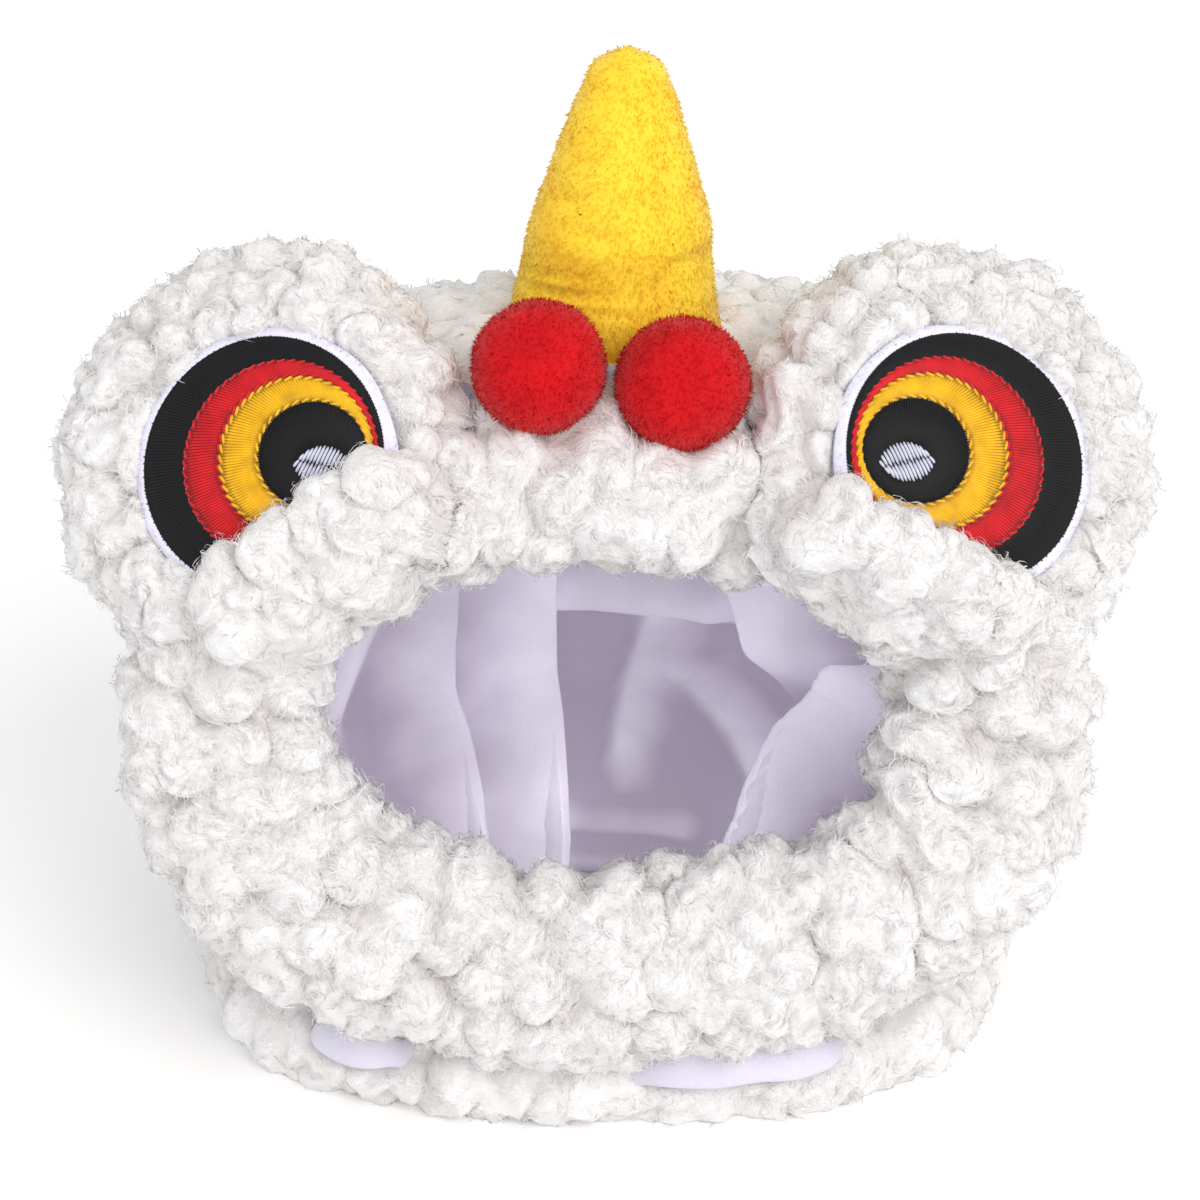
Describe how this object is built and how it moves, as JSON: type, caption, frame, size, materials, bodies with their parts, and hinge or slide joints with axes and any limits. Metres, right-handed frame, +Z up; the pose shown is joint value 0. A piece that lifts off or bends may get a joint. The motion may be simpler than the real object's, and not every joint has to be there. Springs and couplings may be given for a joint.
{
  "type": "lion dance hat",
  "caption": "Curly fleece lion dance hood for a small pet, with a padded ruff round the face opening, embroidered eye pads, a plush horn and felt pompoms.",
  "frame": {"origin": "bottom centre of the whole hat, on the surface that it stands on", "axes": "+Z up to the horn's tip, -Y out of the face opening, +X to the right of a viewer who looks into the face opening"},
  "size_m": [0.1794, 0.1356, 0.1763],
  "materials": {
    "white_curly_fleece": "deep curly pile, matt",
    "lilac_fleece": "soft brushed fleece, matt",
    "lilac_felt": "felt, matt",
    "black_thread": "satin stitch, silky",
    "red_thread": "satin stitch, silky",
    "gold_thread": "satin stitch, silky",
    "pale_thread": "satin stitch, silky",
    "yellow_plush": "short plush, matt",
    "red_felt": "tufted wool felt, matt"
  },
  "bodies": {
    "root": {"hood_shell": "white_curly_fleece", "face_ruff": "white_curly_fleece", "neck_hem": "white_curly_fleece", "eye_pad_left": "white_curly_fleece", "eye_pad_right": "white_curly_fleece", "hood_lining": "lilac_fleece", "hem_facing": "lilac_fleece", "eye_felt_left": "lilac_felt", "eye_felt_right": "lilac_felt", "eye_black_ring_left": "black_thread", "eye_black_ring_right": "black_thread", "eye_red_ring_left": "red_thread", "eye_red_ring_right": "red_thread", "eye_gold_ring_left": "gold_thread", "eye_gold_ring_right": "gold_thread", "eye_pupil_left": "black_thread", "eye_pupil_right": "black_thread", "eye_glint_left": "pale_thread", "eye_glint_right": "pale_thread", "horn": "yellow_plush", "pompom_left": "red_felt", "pompom_right": "red_felt"}
  },
  "joints": []
}
